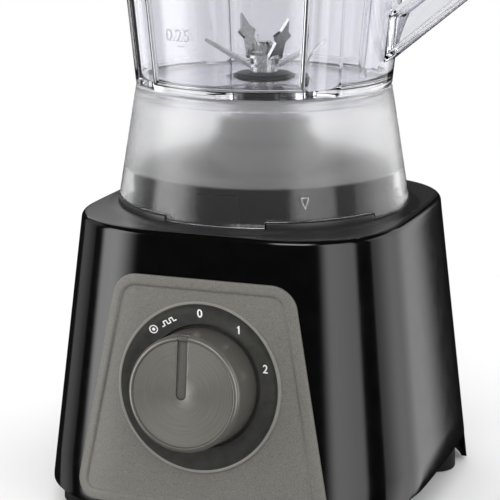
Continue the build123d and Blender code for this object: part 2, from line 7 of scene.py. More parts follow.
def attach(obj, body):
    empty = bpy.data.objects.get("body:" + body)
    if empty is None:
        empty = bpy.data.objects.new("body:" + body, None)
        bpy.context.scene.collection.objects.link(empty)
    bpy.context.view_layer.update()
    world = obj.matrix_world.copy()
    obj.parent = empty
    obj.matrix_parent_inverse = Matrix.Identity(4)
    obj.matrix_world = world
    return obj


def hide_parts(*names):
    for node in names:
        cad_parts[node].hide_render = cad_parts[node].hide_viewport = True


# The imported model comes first. Lengths below are millimetres from the middle of the motor's
# axis on the table, and mm turns them to metres. The front looks along -Y, the handle along +X.
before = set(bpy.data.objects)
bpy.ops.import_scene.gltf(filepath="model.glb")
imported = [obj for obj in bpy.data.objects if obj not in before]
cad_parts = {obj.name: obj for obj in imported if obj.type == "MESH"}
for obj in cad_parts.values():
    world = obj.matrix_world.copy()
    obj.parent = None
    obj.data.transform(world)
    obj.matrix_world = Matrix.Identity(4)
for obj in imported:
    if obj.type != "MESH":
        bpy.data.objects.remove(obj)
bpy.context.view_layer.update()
bpy.ops.object.select_all(action="DESELECT")
scene = bpy.context.scene
scene.view_settings.view_transform = "Standard"
mm = 0.001

# The camera looks down on the front from the right, close to the dial's height, through a
# long lens, so that the base's sides stay nearly upright.
bpy.ops.object.camera_add(
    location=(0.30124, -0.85001, 0.33299), rotation=(radians(76.612), 0, radians(19.949)))
camera = bpy.context.object
camera.name = "camera"
camera.data.lens = 135.25
camera.data.sensor_width = 36
scene.camera = camera


# A white studio: the background is white to the eye and through clear plastic, but almost
# dark in reflections, so that gloss shows only the lamps.
def add_node(tree, kind, inputs=None, **settings):
    """Adds a node with its own settings; inputs gives each socket a value or a socket to link."""
    node = tree.nodes.new("ShaderNode" + kind)
    for setting, value in settings.items():
        setattr(node, setting, value)
    for socket, value in (inputs or {}).items():
        if isinstance(value, bpy.types.NodeSocket):
            tree.links.new(value, node.inputs[socket])
        else:
            node.inputs[socket].default_value = value
    return node


def linear(code):
    """The linear colour of an sRGB hex value."""
    channels = [int(code[k:k + 2], 16) / 255 for k in (1, 3, 5)]
    return [c / 12.92 if c <= 0.04045 else ((c + 0.055) / 1.055) ** 2.4 for c in channels] + [1.0]


world = bpy.data.worlds.new("studio")
scene.world = world
world.use_nodes = True
sky = world.node_tree
sky.nodes.clear()
rays = add_node(sky, "LightPath")
bright = add_node(sky, "Background", {"Color": linear("#ffffff"), "Strength": 1.0})
dim = add_node(sky, "Background", {"Color": linear("#ffffff"), "Strength": 0.95})
dark = add_node(sky, "Background", {"Color": linear("#ffffff"), "Strength": 0.012})
lit = add_node(sky, "MixShader", {0: rays.outputs["Is Diffuse Ray"], 1: bright.outputs[0],
                                  2: dim.outputs[0]})
mirrored = add_node(sky, "Math", {0: rays.outputs["Is Glossy Ray"],
                                  1: rays.outputs["Is Transmission Ray"]}, operation="SUBTRACT")
mixed = add_node(sky, "MixShader", {0: mirrored.outputs[0], 1: lit.outputs[0],
                                    2: dark.outputs[0]})
add_node(sky, "OutputWorld", {"Surface": mixed.outputs[0]})

# Softboxes: tall lamps that the glossy base mirrors as upright bands. Each fills a range of turns
# from the front towards the right, and its cloth is brighter in some places than in others.
lamp_distance = 1.6
lamp_aim = Vector((0, 0, 0.12))


def softbox(name, first, last, height, lift, radiance, cloth):
    """A lamp between two turns round the object; cloth is its (place, share) brightness across."""
    turn = radians((first + last) / 2)
    width = 2 * lamp_distance * tan(radians((last - first) / 2))
    place = lamp_aim + Vector((sin(turn), -cos(turn), 0)) * lamp_distance
    place.z += lift
    bpy.ops.object.light_add(type="AREA", location=place)
    lamp = bpy.context.object
    lamp.name = name
    lamp.data.shape = "RECTANGLE"
    lamp.data.size = width
    lamp.data.size_y = height
    lamp.data.energy = radiance * pi * width * height
    lamp.rotation_euler = (lamp_aim - place).to_track_quat("-Z", "Y").to_euler()
    lamp.visible_camera = False
    lamp.data.use_nodes = True
    tree = lamp.data.node_tree
    tree.nodes.clear()
    across = add_node(tree, "NewGeometry")
    split = add_node(tree, "SeparateXYZ", {0: across.outputs["Parametric"]})
    ramp = add_node(tree, "ValToRGB", {0: split.outputs["X"]})
    ramp.color_ramp.interpolation = "EASE"
    while len(ramp.color_ramp.elements) < len(cloth):
        ramp.color_ramp.elements.new(0.5)
    for element, (position, share) in zip(ramp.color_ramp.elements, cloth):
        element.position = position
        element.color = (share, share, share, 1)
    glow = add_node(tree, "Emission", {"Color": ramp.outputs[0]})
    add_node(tree, "OutputLight", {"Surface": glow.outputs[0]})


softbox("softbox_left", -80, -29, 1.9, 0.1, 3.8, ((0, 0), (0.2, 0.85), (0.45, 1), (1, 0)))
softbox("softbox_far_left", -118, -90, 1.9, 0.1, 0.35, ((0, 0.8), (0.5, 1), (1, 0.6)))
softbox("softbox_front", 36, 78, 1.9, 0.1, 2.5, ((0, 0), (0.3, 1), (0.9, 0.8), (1, 0.3)))
softbox("softbox_right", 96, 163, 1.9, 0.1, 2.6,
        ((0, 0.25), (0.38, 0.58), (0.6, 0.42), (0.78, 0.4), (0.91, 0.4), (1, 0)))
softbox("softbox_top", -20, 40, 0.8, 1.6, 5.0, ((0, 0), (0.25, 1), (0.75, 1), (1, 0)))
softbox("softbox_back", 190, 240, 0.9, 0.95, 1.4, ((0, 0), (0.2, 1), (0.8, 1), (1, 0)))

# White paper floor: it shows the shadow near the object, and fades into the white further out.
bpy.ops.mesh.primitive_plane_add(size=8)
floor = bpy.context.object
floor.name = "floor"
floor.visible_glossy = False
paper = bpy.data.materials.new("white paper sweep")
paper.use_nodes = True
tree = paper.node_tree
tree.nodes.clear()
place = add_node(tree, "TexCoord").outputs["Object"]
away = add_node(tree, "VectorMath", {0: place}, operation="LENGTH")
fade = add_node(tree, "MapRange", {"Value": away.outputs["Value"], 1: 0.3, 2: 1.0},
                interpolation_type="SMOOTHSTEP")
sheet = add_node(tree, "BsdfDiffuse", {"Color": linear("#e3e3e3")})
clean = add_node(tree, "BsdfTransparent")
sweep = add_node(tree, "MixShader", {0: fade.outputs[0], 1: sheet.outputs[0], 2: clean.outputs[0]})
add_node(tree, "OutputMaterial", {"Surface": sweep.outputs[0]})
floor.data.materials.append(paper)

# Motor housing: one injection moulding in gloss black ABS, with walls that lean in as they
# rise, a large radius at each corner, a satin deck and the boss that centres the jug. It has an
# arch at the back between the feet, and holes for the dial, the interlock pin and the inlet.
plan_top_z, plan_low_z = 142.0, 10.0
top_half_x, low_half_x = 76.0, 90.5
top_front, low_front = 79.5, 94.0
top_back, low_back = 79.5, 89.8
top_front_corner, low_front_corner = 50.4, 58.6
top_rear_corner, low_rear_corner = 45.9, 47.6
side_bulge, face_bulge = 3.4, 1.2
deck_z, edge_radius = 143.5, 3.5
wall = 2.6
seat_z, boss_top, boss_radius, well_radius, well_floor = 144.7, 162.5, 63.5, 42.0, 147.0


def circles_meet(centre_a, radius_a, centre_b, radius_b, near):
    """The crossing of two circles that lies nearer to a given point."""
    apart = centre_b - centre_a
    along = (radius_a ** 2 - radius_b ** 2 + apart.length_squared) / (2 * apart.length)
    across = sqrt(radius_a ** 2 - along ** 2)
    unit = apart.normalized()
    middle = centre_a + unit * along
    side = Vector((-unit.y, unit.x)) * across
    return min((middle + side, middle - side), key=lambda p: (p - near).length)


def base_arcs(z, inset=0.0):
    """The right half of the base's plan at height z, from the front's middle to the back's,
    as arcs of (centre, radius, first angle, last angle, steps)."""
    t = (plan_top_z - z) / (plan_top_z - plan_low_z)
    half_x = top_half_x + (low_half_x - top_half_x) * t - inset
    front = top_front + (low_front - top_front) * t - inset
    back = top_back + (low_back - top_back) * t - inset
    fore = top_front_corner + (low_front_corner - top_front_corner) * t - inset
    rear = top_rear_corner + (low_rear_corner - top_rear_corner) * t - inset
    half_y = (front + back) / 2
    face = (half_x ** 2 + face_bulge ** 2) / (2 * face_bulge)
    side = (half_y ** 2 + side_bulge ** 2) / (2 * side_bulge)
    front_centre = Vector((0, face - front - face_bulge))
    back_centre = Vector((0, back + face_bulge - face))
    side_centre = Vector((half_x + side_bulge - side, (back - front) / 2))
    low = circles_meet(front_centre, face - fore, side_centre, side - fore,
                       Vector((half_x - fore, fore - front)))
    high = circles_meet(back_centre, face - rear, side_centre, side - rear,
                        Vector((half_x - rear, back - rear)))
    turns = [atan2(*(end - start).yx) for start, end in (
        (front_centre, low), (side_centre, low), (side_centre, high), (back_centre, high))]
    return [
        (front_centre, face, -pi / 2, turns[0], 8), (low, fore, turns[0], turns[1], 26),
        (side_centre, side, turns[1], turns[2], 14), (high, rear, turns[2], turns[3], 26),
        (back_centre, face, turns[3], pi / 2, 8),
    ]


def plan_ring(z, inset=0.0, height=None):
    """A ring of points on the base's plan at height z, or moved from there to another height."""
    right = []
    for centre, radius, first, last, steps in base_arcs(z, inset):
        for k in range(steps):
            turn = first + (last - first) * k / steps
            right.append((centre.x + radius * cos(turn), centre.y + radius * sin(turn)))
    back_y = base_arcs(z, inset)[-1][0].y + base_arcs(z, inset)[-1][1]
    left = [(-x, y) for x, y in reversed(right[1:])]
    level = z if height is None else height
    return [(x * mm, y * mm, level * mm) for x, y in right + [(0, back_y)] + left]


def mesh_piece(name, points, edges, faces):
    """A piece from the points, edges and faces of its mesh."""
    mesh = bpy.data.meshes.new(name)
    mesh.from_pydata(points, edges, faces)
    piece = bpy.data.objects.new(name, mesh)
    scene.collection.objects.link(piece)
    return piece


def loft(name, rings, closed=False, capped=False):
    """A mesh that joins rings of equal count by quads; closed joins the last to the first."""
    count = len(rings[0])
    faces = []
    for k in range(len(rings) - (0 if closed else 1)):
        low, high = k * count, (k + 1) % len(rings) * count
        faces += [(low + i, low + (i + 1) % count, high + (i + 1) % count, high + i)
                  for i in range(count)]
    if capped:
        faces.append(tuple(reversed(range(count))))
        faces.append(tuple(range((len(rings) - 1) * count, len(rings) * count)))
    return mesh_piece(name, [point for ring in rings for point in ring], [], faces)


def choose(piece):
    """Makes one piece the only one selected, and the active one."""
    bpy.ops.object.select_all(action="DESELECT")
    piece.select_set(True)
    bpy.context.view_layer.objects.active = piece


def close_up(piece, gap=0.004):
    """Merges points that lie together and turns every face outwards."""
    choose(piece)
    bpy.ops.object.mode_set(mode="EDIT")
    bpy.ops.mesh.select_all(action="SELECT")
    bpy.ops.mesh.remove_doubles(threshold=gap * mm)
    bpy.ops.mesh.normals_make_consistent(inside=False)
    bpy.ops.object.mode_set(mode="OBJECT")


def smooth(piece, angle=32):
    """Smooth shading with crisp edges where faces turn by more than the angle."""
    choose(piece)
    bpy.ops.object.shade_smooth_by_angle(angle=radians(angle))


def soften(piece, width, segments=3, angle=35):
    """Rounds the sharp edges of a piece to a moulded or ground radius."""
    choose(piece)
    bpy.ops.object.modifier_add(type="BEVEL")
    bevel = piece.modifiers[-1]
    bevel.width = width * mm
    bevel.segments = segments
    bevel.limit_method = "ANGLE"
    bevel.angle_limit = radians(angle)
    bpy.ops.object.modifier_apply(modifier=bevel.name)


def combine(piece, tool, operation="DIFFERENCE"):
    """Cuts a piece with a tool, or welds the two, and takes the tool away."""
    choose(piece)
    bpy.ops.object.modifier_add(type="BOOLEAN")
    boolean = piece.modifiers[-1]
    boolean.operation = operation
    boolean.object = tool
    boolean.solver = "EXACT"
    bpy.ops.object.modifier_apply(modifier=boolean.name)
    bpy.data.objects.remove(tool)


def rounded(corners, radii, steps=8):
    """A closed outline of 2D points whose corners are arcs of the radii given."""
    outline = []
    for k, radius in enumerate(radii):
        here, before = Vector(corners[k]), Vector(corners[k - 1])
        after = Vector(corners[(k + 1) % len(corners)])
        if not radius:
            outline.append(here)
            continue
        into, out = (before - here).normalized(), (after - here).normalized()
        half = into.angle(out) / 2
        centre = here + (into + out).normalized() * radius / sin(half)
        first = here + into * radius / tan(half) - centre
        last = here + out * radius / tan(half) - centre
        swing = pi - 2 * half
        for s in range(steps + 1):
            share = s / steps
            outline.append(centre + (first * sin((1 - share) * swing)
                                     + last * sin(share * swing)) / sin(swing))
    return outline


deck_turns = [atan2(y, x) for x, y, z in plan_ring(140, edge_radius)]
deck_rim = [hypot(x, y) / mm for x, y, z in plan_ring(140, edge_radius)]


def deck_ring(radius, height):
    """A ring round the motor's axis, kept inside the deck's edge."""
    return [(min(radius, rim - 0.5) * cos(turn) * mm, min(radius, rim - 0.5) * sin(turn) * mm,
             height * mm) for turn, rim in zip(deck_turns, deck_rim)]


edge_z = deck_z - edge_radius
wall_rings = [plan_ring(z) for z in (2, 10, 30, 50, 70, 90, 110, 125, 136)]
for k in range(9):
    lean = radians(8 + 82 * k / 8)
    wall_rings.append(plan_ring(edge_z, edge_radius * (1 - cos(lean)),
                                edge_z + edge_radius * sin(lean)))
deck_rings = [deck_ring(radius, height) for radius, height in (
    (76.6, deck_z), (75.6, deck_z + 0.15), (72.6, seat_z - 0.15), (71.6, seat_z), (64.2, seat_z),
    (boss_radius, seat_z + 0.7), (boss_radius, 153), (boss_radius, boss_top - 1.6),
    (boss_radius - 0.5, boss_top - 0.5), (boss_radius - 1.6, boss_top), (53, boss_top),
    (well_radius + 1.2, boss_top), (well_radius + 0.3, boss_top - 0.3),
    (well_radius, boss_top - 1.2), (well_radius, 155), (well_radius, well_floor + 2),
    (well_radius - 2, well_floor), (28, well_floor), (14, well_floor), (14, well_floor - wall),
    (well_radius + wall, well_floor - wall), (well_radius + wall, boss_top - wall),
    (boss_radius - wall, boss_top - wall), (boss_radius - wall, deck_z - wall),
)]
inner_rings = [plan_ring(z, wall) for z in (deck_z - wall, 120, 90, 60, 30, 2)]
housing = loft("housing_shell", wall_rings + deck_rings + inner_rings, closed=True)
close_up(housing)

arch_corners = [(-110, -5), (-110, 12), (-66, 12), (-50, 18), (58.5, 18), (60.5, -5)]
arch_outline = rounded(arch_corners, (0, 0, 8, 8, 0.6, 0))
arch = loft("arch", [[(x * mm, y * mm, z * mm) for y, z in arch_outline] for x in (-120, 120)],
            capped=True)
close_up(arch)
combine(housing, arch)

# The dial's own frame: its origin in the dish's middle, Z out of the front, Y up the slope.
dial_tilt = radians(7.2)
dial_origin = Vector((0, -87.6, 73.7)) * mm
dial_turn = Matrix(((1, 0, 0), (0, sin(dial_tilt), -cos(dial_tilt)),
                    (0, cos(dial_tilt), sin(dial_tilt))))
dial_place = Matrix.Translation(dial_origin) @ dial_turn.to_4x4()
dial_radius = 39.0


def place_on_dial(piece):
    """Moves a piece made about the Z axis on to the dial, and keeps its place in its mesh."""
    choose(piece)
    piece.matrix_world = dial_place
    bpy.ops.object.transform_apply()


bpy.ops.mesh.primitive_cylinder_add(vertices=160, radius=(dial_radius + 0.1) * mm, depth=0.04)
dial_bore = bpy.context.object
place_on_dial(dial_bore)
combine(housing, dial_bore)
close_up(housing)
soften(housing, 0.35, segments=2, angle=50)
pin_hole, pin_place = 2.0, (0, 68, 140)
inlet_hole, inlet_place = 6.2, (0, 90, 34)
for radius, place, turn in ((pin_hole, pin_place, 0), (inlet_hole, inlet_place, pi / 2)):
    bpy.ops.mesh.primitive_cylinder_add(vertices=64, radius=radius * mm, depth=0.04,
                                        location=Vector(place) * mm, rotation=(turn, 0, 0))
    combine(housing, bpy.context.object)
smooth(housing, 28)


def start_material(name, colour, roughness, metallic=0.0, sockets=None):
    """A material with its shader: values that hold all over go on the shader's own sockets."""
    material = bpy.data.materials.new(name)
    material.use_nodes = True
    tree = material.node_tree
    tree.nodes.clear()
    values = {"Base Color": linear(colour), "Roughness": roughness, "Metallic": metallic}
    values.update(sockets or {})
    shader = add_node(tree, "BsdfPrincipled", values)
    add_node(tree, "OutputMaterial", {"Surface": shader.outputs[0]})
    return material, tree, shader


def grain(tree, shader, size, depth, roughness=None, colours=None, stretch=(1, 1, 1), detail=3):
    """Surface grain of a real size: bump to its depth, and roughness and colour that follow it."""
    place = add_node(tree, "TexCoord").outputs["Object"]
    turned_place = add_node(tree, "Mapping", {"Vector": place, "Scale": stretch})
    noise = add_node(tree, "TexNoise", {
        "Vector": turned_place.outputs[0], "Scale": 1 / (size * mm), "Detail": detail})
    bump = add_node(tree, "Bump", {"Height": noise.outputs[0], "Distance": depth * mm})
    tree.links.new(bump.outputs[0], shader.inputs["Normal"])
    if roughness:
        spread = add_node(tree, "MapRange", {"Value": noise.outputs[0], 1: 0.3, 2: 0.7,
                                             3: roughness[0], 4: roughness[1]})
        tree.links.new(spread.outputs[0], shader.inputs["Roughness"])
    if colours:
        ramp = add_node(tree, "ValToRGB", {0: noise.outputs[0]})
        ramp.color_ramp.elements[0].position = 0.3
        ramp.color_ramp.elements[0].color = linear(colours[0])
        ramp.color_ramp.elements[1].position = 0.7
        ramp.color_ramp.elements[1].color = linear(colours[1])
        tree.links.new(ramp.outputs[0], shader.inputs["Base Color"])
    return noise


def moulded(name, colours, roughness, size, depth, sockets=None):
    """A moulded plastic or rubber with a fine grain."""
    material, tree, shader = start_material(name, colours[0], roughness[0], sockets=sockets)
    grain(tree, shader, size, depth, roughness, colours)
    return material


# Gloss ABS: moulded against a polished tool, so it mirrors the lamps with soft edges and only
# a slow waviness shows. The deck is the same plastic with a fine spark-eroded grain, and the
# boss under the jug is dull.
gloss_black = moulded("gloss black ABS", ("#040404", "#060606"), (0.1, 0.13), 9, 0.004,
                      {"IOR": 1.54})
satin_black = moulded("satin black ABS", ("#1f1f1f", "#262626"), (0.3, 0.38), 0.5, 0.02,
                      {"IOR": 1.54})
matt_black = moulded("matt black ABS", ("#080808", "#0d0d0d"), (0.5, 0.6), 0.5, 0.02,
                     {"Specular IOR Level": 0.12})
for material in (gloss_black, satin_black, matt_black):
    housing.data.materials.append(material)
for face in housing.data.polygons:
    middle = face.center / mm
    on_deck = middle.z > deck_z - 0.9 and face.normal.z > 0.9 or middle.z > deck_z + 0.1
    in_shell = hypot(middle.x, middle.y) < boss_radius - 0.3 or middle.z < 1
    on_boss = middle.z > seat_z + 0.2
    face.material_index = 2 if on_boss else 1 if on_deck or in_shell else 0
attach(housing, "base")
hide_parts("motor_housing")

# Seat lands and stop: four low arcs that the collar's edge drops between, and the upright lug
# at the front that stops the jug from turning. They are moulded with the deck.
land_z = 147.3
land_starts, land_sweep = (20.5, 114.5, 200.5, 294.5), 45.0


def arc_bar(name, section, start, sweep, steps):
    """A bar of constant section swept round the motor's axis, from start by sweep degrees.
    Zero degrees is the front, and the angle grows towards the right."""
    rings = []
    for k in range(steps + 1):
        turn = radians(start + sweep * k / steps - 90)
        rings.append([(r * cos(turn) * mm, r * sin(turn) * mm, z * mm) for r, z in section])
    bar = loft(name, rings, capped=True)
    close_up(bar)
    return bar


for k, start in enumerate(land_starts):
    land = arc_bar(f"seat_land_{k + 1}", [(63.2, seat_z - 0.5), (71.2, seat_z - 0.5),
                                          (71.2, land_z), (63.2, land_z)], start, land_sweep, 30)
    soften(land, 0.35)
    smooth(land)
    land.data.materials.append(satin_black)
    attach(land, "base")
lug = arc_bar("stop_lug", [(62.9, seat_z - 0.5), (67.2, seat_z - 0.5), (64.9, 158.5),
                           (62.9, 158.5)], -9, 18.5, 12)
soften(lug, 0.6)
smooth(lug)
lug.data.materials.append(matt_black)
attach(lug, "base")

# Front panel: an ABS plate lacquered in a warm silver-grey. It follows the housing's curve, has
# a raised rim with a coved inner step, and a sunk field round the dial's hole.
panel_top, panel_low = 49.7, -59.0
panel_half_top, panel_half_low = 43.0, 63.2
panel_top_corner, panel_low_corner = 12.5, 9.0


def front_y(x, z):
    """How far forward the housing's outside lies at a width and height on its front."""
    front, corner = base_arcs(z)[:2]
    if abs(x) < front[0].x + front[1] * cos(front[3]):
        return front[0].y - sqrt(front[1] ** 2 - x ** 2)
    reach = min(abs(x) - corner[0].x, corner[1])
    return corner[0].y - sqrt(corner[1] ** 2 - reach ** 2)


def drape(u, v, proud):
    """The point that stands proud of the housing's front at (u, v) in the dial's plane."""
    out = dial_turn @ Vector((0, 0, 1))
    point = dial_origin / mm + dial_turn @ Vector((u, v, 0))
    for _ in range(4):
        point = point - out * ((front_y(point.x, point.z) - point.y) / cos(dial_tilt))
    return tuple((point + out * proud) * mm)


def panel_ring(margin):
    """The panel's outline in the dial's plane, drawn in by a margin: a rounded trapezoid."""
    lean = atan2(panel_half_low - panel_half_top, panel_top - panel_low)
    ring = []
    edge = panel_half_top * cos(lean) + panel_top * sin(lean)
    corners = []
    for v_edge, way, radius in ((panel_low, 1, panel_low_corner),
                                (panel_top, -1, panel_top_corner)):
        keep = max(radius - margin, 1.2)
        v = v_edge + way * (margin + keep)
        u = (edge - margin - keep - v * sin(lean)) / cos(lean)
        corners.append((u, v, keep))
    (u_low, v_low, r_low), (u_top, v_top, r_top) = corners
    for k in range(10):
        ring.append((u_low * k / 10, v_low - r_low))
    for k in range(12):
        turn = -pi / 2 + (lean + pi / 2) * k / 12
        ring.append((u_low + r_low * cos(turn), v_low + r_low * sin(turn)))
    side_low = Vector((u_low + r_low * cos(lean), v_low + r_low * sin(lean)))
    side_top = Vector((u_top + r_top * cos(lean), v_top + r_top * sin(lean)))
    ring += [tuple(side_low.lerp(side_top, k / 24)) for k in range(24)]
    for k in range(12):
        turn = lean + (pi / 2 - lean) * k / 12
        ring.append((u_top + r_top * cos(turn), v_top + r_top * sin(turn)))
    ring += [(u_top * (1 - k / 8), v_top + r_top) for k in range(8)]
    return ring + [(0, v_top + r_top)] + [(-u, v) for u, v in reversed(ring[1:])]


field_edge = panel_ring(6.0)
dial_edge = [Vector(point).normalized() * (dial_radius + 0.1) for point in field_edge]
rim_profile = ((0, -0.5), (0, 0.85), (0.12, 1.1), (0.4, 1.25), (1.2, 1.3), (3.4, 1.25),
               (4.4, 1.15), (4.9, 0.85), (5.2, 0.45), (5.5, 0.22), (6.0, 0.15))
panel_rings = [[drape(u, v, proud) for u, v in panel_ring(margin)] for margin, proud in rim_profile]
for k in range(1, 13):
    share = k / 12
    panel_rings.append([drape(*Vector(edge).lerp(hole, share), 0.15)
                        for edge, hole in zip(field_edge, dial_edge)])
panel_rings.append([drape(u, v, -0.5) for u, v in dial_edge])
panel = loft("front_panel", panel_rings, closed=True)
close_up(panel)
smooth(panel, 40)

# Silver-grey lacquer: fine metal flake in a satin lacquer, which reads as warm grey with a
# faint sparkle. The flake is drawn at half a millimetre so that it shows.
flake_grey, tree, shader = start_material(
    "silver-grey lacquer", "#656360", 0.5, 0.15, {"Specular IOR Level": 0.35})
grain(tree, shader, 0.45, 0.01, (0.42, 0.6), ("#575550", "#73716c"), detail=2)
panel.data.materials.append(flake_grey)
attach(panel, "base")
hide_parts("control_panel")


# Dial dish: a turned concave ring in gloss black that carries the printed scale, with a thin
# lip against the panel that is painted a lighter grey as a painted highlight of its bright edge.
def turned(name, profile, steps=160):
    """A piece turned about the Z axis from the (radius, height) points of its closed section."""
    count = len(profile)
    on_axis = [k for k, (radius, height) in enumerate(profile) if radius == 0]
    edges = [(k, (k + 1) % count) for k in range(count)
             if not (k in on_axis and (k + 1) % count in on_axis)]
    points = [(radius * mm, 0, height * mm) for radius, height in profile]
    piece = mesh_piece(name, points, edges, [])
    choose(piece)
    bpy.ops.object.mode_set(mode="EDIT")
    bpy.ops.mesh.select_all(action="SELECT")
    bpy.ops.mesh.spin(steps=steps, angle=2 * pi, axis=(0, 0, 1))
    bpy.ops.object.mode_set(mode="OBJECT")
    close_up(piece)
    return piece


dish_profile = [(20, -6.5), (31, -6.5), (34, -4.5), (38.95, -3.5), (38.95, -0.4), (39.6, -0.4),
                (39.6, 1.2), (39.4, 1.55), (38.9, 1.65), (38.3, 1.45), (37.5, 0.7), (36.4, -0.15),
                (35, -0.75), (33.4, -1.2), (31.5, -1.6), (29.4, -1.85), (28.6, -2.2),
                (28.2, -4.2), (20, -4.2)]
lip_place = dish_profile.index((38.9, 1.65))
dish = turned("dial_ring", dish_profile)
smooth(dish, 40)
place_on_dial(dish)
dish_black = moulded("gloss black ABS dial", ("#31312f", "#393937"), (0.16, 0.22), 4, 0.003,
                     {"IOR": 1.54})
# The lip's lighter grey is a painted highlight: it stands in for the light that the lip's rounded
# edge catches.
lip_highlight_grey = moulded("satin grey lip, painted highlight", ("#7d7b75", "#86847e"), (0.36, 0.42), 5, 0.001,
                   {"Metallic": 0.2})
dish.data.materials.append(dish_black)
dish.data.materials.append(lip_highlight_grey)
back_on_dial = dial_place.inverted()
# Faces on the lip get the lighter grey, which paints in the lip's edge highlight.
for face in dish.data.polygons:
    spot = back_on_dial @ face.center
    on_lip = hypot(spot.x, spot.y) > 38 * mm and spot.z > 0
    face.material_index = 1 if on_lip else 0
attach(dish, "base")
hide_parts("dial_dish")


# Dial marks: white pad print on the dish. The figures are 0, 1 and 2, and the momentary
# position has a round target and a short pulse wave.
def dish_height(radius):
    """The dish's surface at a radius, between the points of its profile."""
    face = dish_profile[lip_place:]
    for (r_a, z_a), (r_b, z_b) in zip(face, face[1:]):
        if r_b <= radius <= r_a:
            return z_b + (z_a - z_b) * (radius - r_b) / (r_a - r_b)
    return face[0][1]


def print_on_dish(mark, radius, turn):
    """Bends a flat mark on to the dish at a radius and a turn clockwise from the top."""
    choose(mark)
    bpy.ops.object.mode_set(mode="EDIT")
    bpy.ops.mesh.select_all(action="SELECT")
    bpy.ops.mesh.subdivide(number_cuts=2)
    bpy.ops.object.mode_set(mode="OBJECT")
    centre_u, centre_v = radius * sin(radians(turn)), radius * cos(radians(turn))
    for point in mark.data.vertices:
        u, v = centre_u + point.co.x / mm, centre_v + point.co.y / mm
        point.co = (u * mm, v * mm, (dish_height(hypot(u, v)) + 0.06 + point.co.z / mm) * mm)
    place_on_dial(mark)
    mark.data.materials.append(print_white)
    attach(mark, "base")


def figure_mesh(name, figure, size, thickness, weight=0.0, align="TOP_BASELINE"):
    """A figure as a thin flat mesh on the XY plane, made bolder by its weight."""
    bpy.ops.object.text_add()
    text = bpy.context.object.data
    text.body = figure
    text.size = size * mm
    text.align_x = "CENTER"
    text.align_y = align
    text.extrude = thickness * mm
    text.offset = weight * mm
    bpy.ops.object.convert(target="MESH")
    mark = bpy.context.object
    mark.name = name
    return mark


print_white = moulded("white pad print", ("#dedede", "#e8e8e8"), (0.45, 0.55), 0.4, 0.004)
for figure, radius, turn in (("0", 33.5, -3.0), ("1", 32.6, 32.3), ("2", 32.8, 70.5)):
    mark = figure_mesh("dial_mark_" + figure, figure, 5.4, 0.03, 0.09, "CENTER")
    if figure == "1":
        flag = loft("flag", [[(x * mm, y * mm, z * mm) for x, y in (
            (-0.9, 0.75), (0.05, 1.4), (0.05, 1.95), (-0.9, 1.3))] for z in (-0.03, 0.03)],
            capped=True)
        combine(mark, flag, "UNION")
    print_on_dish(mark, radius, turn)

target = turned("dial_mark_target", [(1.5, -0.02), (2.0, -0.02), (2.0, 0.03), (1.5, 0.03)], 40)
spot = turned("target_dot", [(0, -0.02), (0.75, -0.02), (0.75, 0.03), (0, 0.03)], 24)
combine(target, spot, "UNION")
print_on_dish(target, 34.2, -44.6)

wave = [(-3.9, 0), (-2.4, 0), (-2.4, 1.9), (-0.8, 1.9), (-0.8, 0), (0.8, 0), (0.8, 1.9),
        (2.4, 1.9), (2.4, 0), (3.9, 0)]
pulse = mesh_piece("dial_mark_pulse", [(x * mm, (y - 0.9) * mm, 0) for x, y in wave],
                   [(k, k + 1) for k in range(len(wave) - 1)], [])
choose(pulse)
bpy.ops.object.modifier_add(type="SKIN")
for point in pulse.data.skin_vertices[0].data:
    point.radius = (0.27 * mm, 0.27 * mm)
bpy.ops.object.modifier_apply(modifier=pulse.modifiers[0].name)
bpy.ops.transform.resize(value=(1, 1, 0.12))
bpy.ops.object.transform_apply(location=False, rotation=False, scale=True)
lean = radians(30.7)
for point in pulse.data.vertices:
    x, y = point.co.x, point.co.y
    point.co.x, point.co.y = x * cos(lean) - y * sin(lean), x * sin(lean) + y * cos(lean)
print_on_dish(pulse, 33.2, -30.7)

# Knob: a turned aluminium cap on a plastic core. Its side is brushed round, its face is spun
# with a slight dish, and a slot across half of it holds the pointer strip.
knob_radius, knob_height = 27.1, 21.3
knob = turned("knob_cap", [
    (8, 3), (24.5, 3), (24.5, -2.4), (26.9, -2.4), (knob_radius, 0), (26.62, 18.6),
    (26.5, 19.6), (26.1, 20.5), (25.5, 21.05), (24.8, knob_height), (24.35, 21.2),
    (24.2, 20.8), (24.2, 19.2), (8, 19.2)], 200)
face = turned("knob_plate", [
    (0, 19.3), (24.1, 19.3), (24.1, 20.7), (23.9, 20.85), (16, 20.7), (8, 20.55), (0, 20.4)], 200)


def slot_cutter(low_z):
    """The pointer slot's shape in the dial's frame: straight, with a round lower end."""
    outline = rounded([(-3.5, -2.8), (1.5, -2.8), (1.5, 30), (-3.5, 30)], (2.45, 2.45, 0, 0))
    cutter = loft("slot", [[(u * mm, v * mm, z * mm) for u, v in outline] for z in (low_z, 24)],
                  capped=True)
    close_up(cutter)
    return cutter


combine(knob, slot_cutter(18.9))
combine(face, slot_cutter(17))
for piece, width in ((knob, 0.12), (face, 0.15)):
    close_up(piece, 0.002)
    soften(piece, width, segments=2, angle=50)
    smooth(piece, 35)


def polar_map(piece):
    """A map whose first direction runs round the Z axis, which brushing and turning follow."""
    layer = piece.data.uv_layers.new(name="round")
    for face in piece.data.polygons:
        middle = atan2(face.center.y, face.center.x)
        for loop in face.loop_indices:
            spot = piece.data.vertices[piece.data.loops[loop].vertex_index].co
            turn = atan2(spot.y, spot.x) if hypot(spot.x, spot.y) > 1e-6 else middle
            turn = middle + (turn - middle + pi) % (2 * pi) - pi
            layer.data[loop].uv = (turn / (2 * pi), hypot(spot.x, spot.y) / (30 * mm)
                                   + spot.z / (30 * mm))


